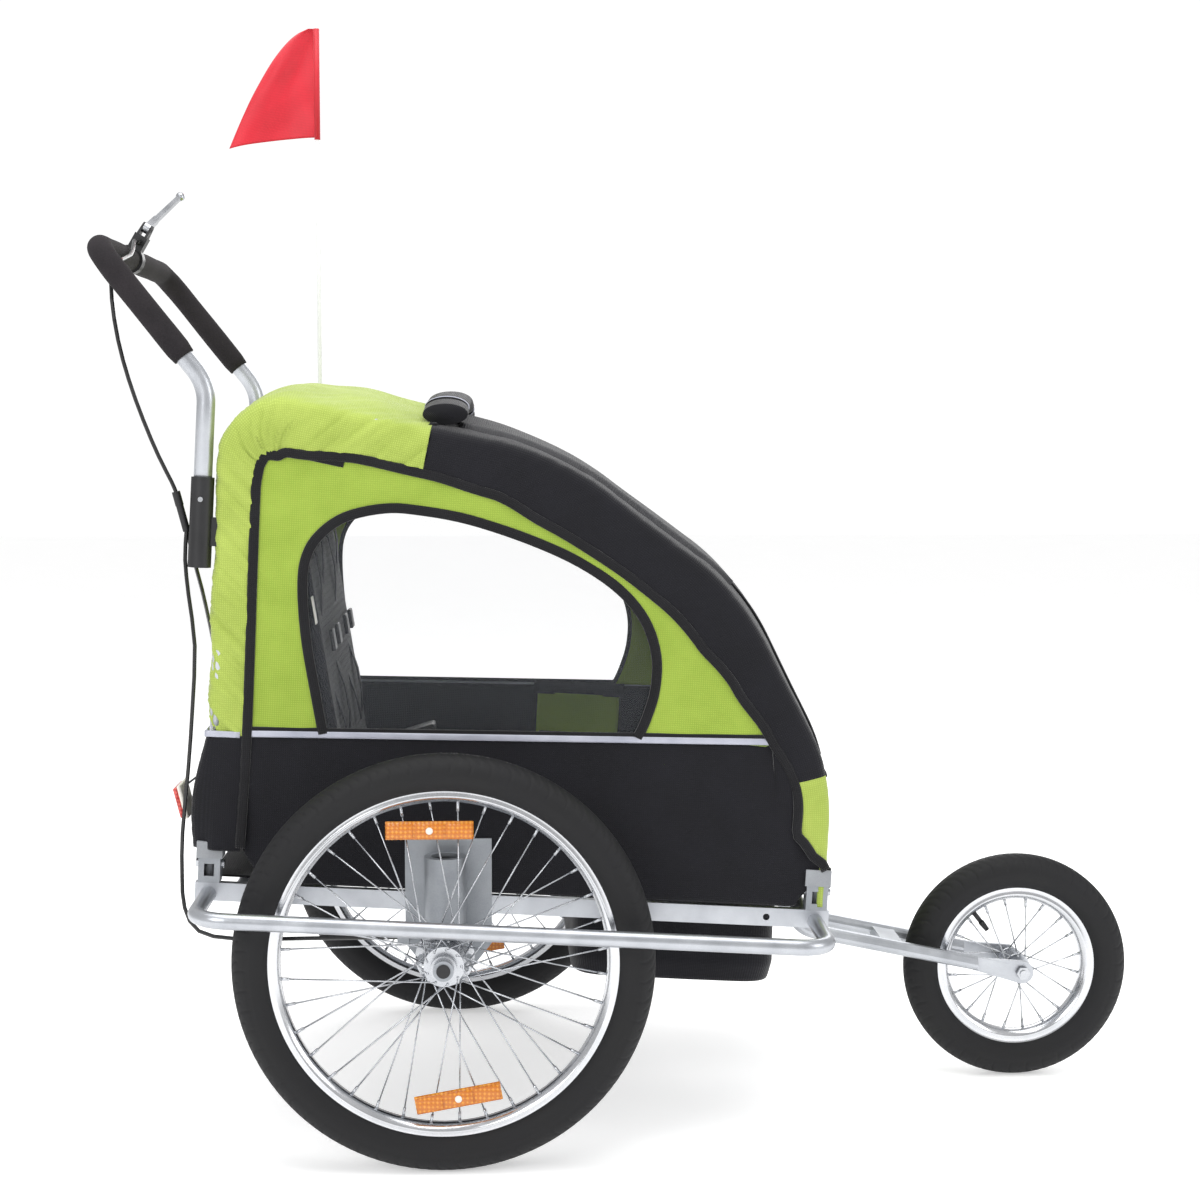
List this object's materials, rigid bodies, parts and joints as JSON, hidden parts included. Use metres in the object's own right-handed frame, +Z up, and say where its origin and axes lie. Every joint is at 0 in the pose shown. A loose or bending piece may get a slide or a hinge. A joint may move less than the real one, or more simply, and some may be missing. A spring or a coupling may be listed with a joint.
{
  "type": "child bicycle trailer",
  "caption": "two-wheeled child trailer with fabric cabin, sprung spoked wheels, side guard bars, push handle with brake lever, jogging front wheel and safety flag",
  "frame": {"origin": "on the ground under the middle of the trailer's bounding box", "axes": "+X forward towards the front wheel, +Y left, +Z up"},
  "size_m": [1.3314, 0.829, 1.432],
  "materials": {
    "silver_tube": "satin anodised tube",
    "grey_casting": "painted casting",
    "grey_plastic": "moulded nylon",
    "bright_steel": "bright plated steel",
    "black_plastic": "moulded nylon",
    "foam": "closed cell foam",
    "cable_jacket": "extruded jacket",
    "rubber": "moulded rubber",
    "tyre": "moulded tread",
    "rim_alloy": "machined and polished",
    "amber": "prismatic amber lens",
    "green_cloth": "coated woven polyester",
    "black_cloth": "coated woven polyester",
    "clear_film": "clear vinyl film",
    "red_lens": "red lens in a white case",
    "pole": "fibreglass rod",
    "flag_cloth": "thin woven nylon"
  },
  "bodies": {
    "root": {"side_rails": "silver_tube", "cross_tubes": "silver_tube", "guard_bars": "silver_tube", "cover_hoops": "silver_tube", "spreader_bars": "silver_tube", "handle_tube": "silver_tube", "fork": "silver_tube", "corner_brackets": "grey_casting", "suspension_cylinders": "grey_casting", "hinge_bolts": "bright_steel", "front_axle": "bright_steel", "handle_sockets": "black_plastic", "lever_clamp": "black_plastic", "cable_splitter": "black_plastic", "handle_foam": "foam", "brake_cable_main": "cable_jacket", "brake_cable_right": "cable_jacket", "brake_cable_left": "cable_jacket", "rubber_spring_right": "rubber", "rubber_spring_left": "rubber", "side_panels": "green_cloth", "canopy": "green_cloth", "front_panel": "green_cloth", "rear_panel": "black_cloth", "front_cover": "black_cloth", "floor_tub": "black_cloth", "seat_base": "black_cloth", "seat_back": "black_cloth", "rain_roll": "black_cloth", "windows": "clear_film", "rear_reflector": "red_lens", "flag_pole": "pole"},
    "slider_right": {"slider_right": "grey_casting"},
    "slider_left": {"slider_left": "grey_casting"},
    "rear_wheel_right": {"rear_tyre_right": "tyre", "rear_rim_right": "rim_alloy", "rear_spokes_right": "bright_steel", "rear_hub_right": "bright_steel", "reflectors_right": "amber"},
    "rear_wheel_left": {"rear_tyre_left": "tyre", "rear_rim_left": "rim_alloy", "rear_spokes_left": "bright_steel", "rear_hub_left": "bright_steel", "reflectors_left": "amber"},
    "front_wheel": {"front_tyre": "tyre", "front_rim": "rim_alloy", "front_spokes": "bright_steel", "front_hub": "bright_steel"},
    "brake_lever": {"brake_lever": "bright_steel"},
    "brake_pin_right": {"brake_pin_right": "bright_steel"},
    "brake_pin_left": {"brake_pin_left": "bright_steel"},
    "axle_button_right": {"axle_button_right": "black_plastic"},
    "axle_button_left": {"axle_button_left": "black_plastic"},
    "snap_button_right": {"snap_button_right": "bright_steel"},
    "snap_button_left": {"snap_button_left": "bright_steel"},
    "flag": {"flag": "flag_cloth"},
    "lock_collar_rear_right": {"lock_collar_rear_right": "grey_plastic"},
    "lock_collar_rear_left": {"lock_collar_rear_left": "grey_plastic"},
    "lock_collar_front_right": {"lock_collar_front_right": "grey_plastic"},
    "lock_collar_front_left": {"lock_collar_front_left": "grey_plastic"}
  },
  "joints": [
    {"name": "suspension_right", "type": "slide", "parent": "root", "child": "slider_right", "axis": [0, 0, 1], "range_m": [0, 0.02], "stiffness_N_per_m": 8000, "springref_m": -0.012, "deforming": ["rubber_spring_right"]},
    {"name": "rear_wheel_right_spin", "type": "hinge", "parent": "slider_right", "child": "rear_wheel_right", "pos_m": [-0.24105, -0.35, 0.2475], "axis": [0, 1, 0], "continuous": true},
    {"name": "axle_button_right_press", "type": "slide", "parent": "slider_right", "child": "axle_button_right", "axis": [0, 1, 0], "range_m": [0, 0.002], "stiffness_N_per_m": 600, "springref_m": -0.001},
    {"name": "brake_pin_right_slide", "type": "slide", "parent": "slider_right", "child": "brake_pin_right", "axis": [0, -1, 0], "range_m": [0, 0.006]},
    {"name": "snap_button_right_press", "type": "slide", "parent": "root", "child": "snap_button_right", "axis": [0, 1, 0], "range_m": [0, 0.0042], "stiffness_N_per_m": 600, "springref_m": -0.001},
    {"name": "suspension_left", "type": "slide", "parent": "root", "child": "slider_left", "axis": [0, 0, 1], "range_m": [0, 0.02], "stiffness_N_per_m": 8000, "springref_m": -0.012, "deforming": ["rubber_spring_left"]},
    {"name": "rear_wheel_left_spin", "type": "hinge", "parent": "slider_left", "child": "rear_wheel_left", "pos_m": [-0.24105, 0.35, 0.2475], "axis": [0, 1, 0], "continuous": true},
    {"name": "axle_button_left_press", "type": "slide", "parent": "slider_left", "child": "axle_button_left", "axis": [0, -1, 0], "range_m": [0, 0.002], "stiffness_N_per_m": 600, "springref_m": -0.001},
    {"name": "brake_pin_left_slide", "type": "slide", "parent": "slider_left", "child": "brake_pin_left", "axis": [0, 1, 0], "range_m": [0, 0.006]},
    {"name": "snap_button_left_press", "type": "slide", "parent": "root", "child": "snap_button_left", "axis": [0, -1, 0], "range_m": [0, 0.0042], "stiffness_N_per_m": 600, "springref_m": -0.001},
    {"name": "front_wheel_spin", "type": "hinge", "parent": "root", "child": "front_wheel", "pos_m": [0.51395, 0, 0.15], "axis": [0, 1, 0], "continuous": true},
    {"name": "brake_lever_pull", "type": "hinge", "parent": "root", "child": "brake_lever", "pos_m": [-0.62595, -0.02, 1.12441], "axis": [-0.866, 0, 0.5], "range_deg": [0, 25], "stiffness_Nm_per_rad": 0.6, "springref_deg": -11.46},
    {"name": "lock_collar_rear_right_slide", "type": "slide", "parent": "root", "child": "lock_collar_rear_right", "axis": [0.0558, 0, 0.9984], "range_m": [0, 0.01]},
    {"name": "lock_collar_rear_left_slide", "type": "slide", "parent": "root", "child": "lock_collar_rear_left", "axis": [0.0558, 0, 0.9984], "range_m": [0, 0.01]},
    {"name": "lock_collar_front_right_slide", "type": "slide", "parent": "root", "child": "lock_collar_front_right", "axis": [0.0558, 0, 0.9984], "range_m": [0, 0.01]},
    {"name": "lock_collar_front_left_slide", "type": "slide", "parent": "root", "child": "lock_collar_front_left", "axis": [0.0558, 0, 0.9984], "range_m": [0, 0.01]},
    {"name": "flag_swivel", "type": "hinge", "parent": "root", "child": "flag", "pos_m": [-0.43305, 0.2722, 1.35], "axis": [0, 0, 1], "continuous": true}
  ],
  "couplings": [
    {"joint": "brake_pin_right_slide", "follows": "brake_lever_pull", "m_per_rad": 0.01375},
    {"joint": "brake_pin_left_slide", "follows": "brake_lever_pull", "m_per_rad": 0.01375}
  ]
}
